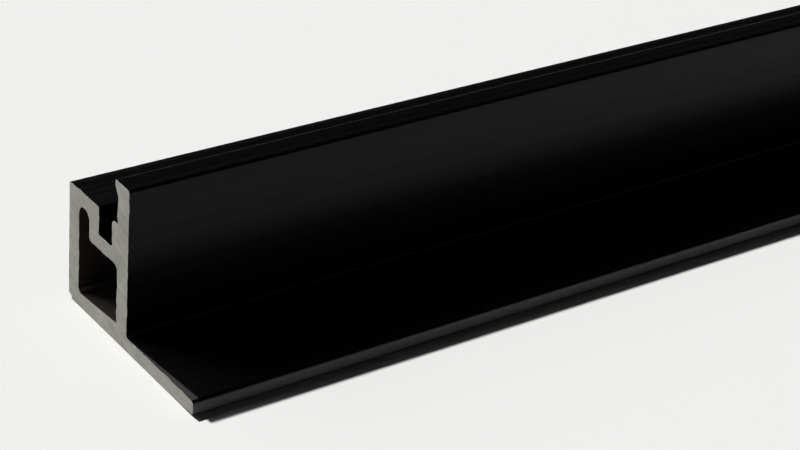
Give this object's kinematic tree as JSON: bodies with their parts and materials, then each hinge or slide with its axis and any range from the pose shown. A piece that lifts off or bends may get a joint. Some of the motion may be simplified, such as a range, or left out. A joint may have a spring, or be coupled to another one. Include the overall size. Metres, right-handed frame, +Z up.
{
  "type": "wall panel trim",
  "caption": "Straight extruded edge trim for wall panels: a hollow back with a clip channel, a fin and a flange that make the panel's rebate.",
  "frame": {"origin": "middle of the footprint, on the flat base that lies on the floor or against the wall", "axes": "+X along the bar, +Y towards the plain back, -Y towards the flange's free edge, +Z up from the base to the fin's top"},
  "size_m": [2.5, 0.025, 0.0182],
  "materials": {
    "black_anodised": "satin black anodised, with bare sawn ends"
  },
  "bodies": {
    "root": {"trim_extrusion": "black_anodised"}
  },
  "joints": []
}
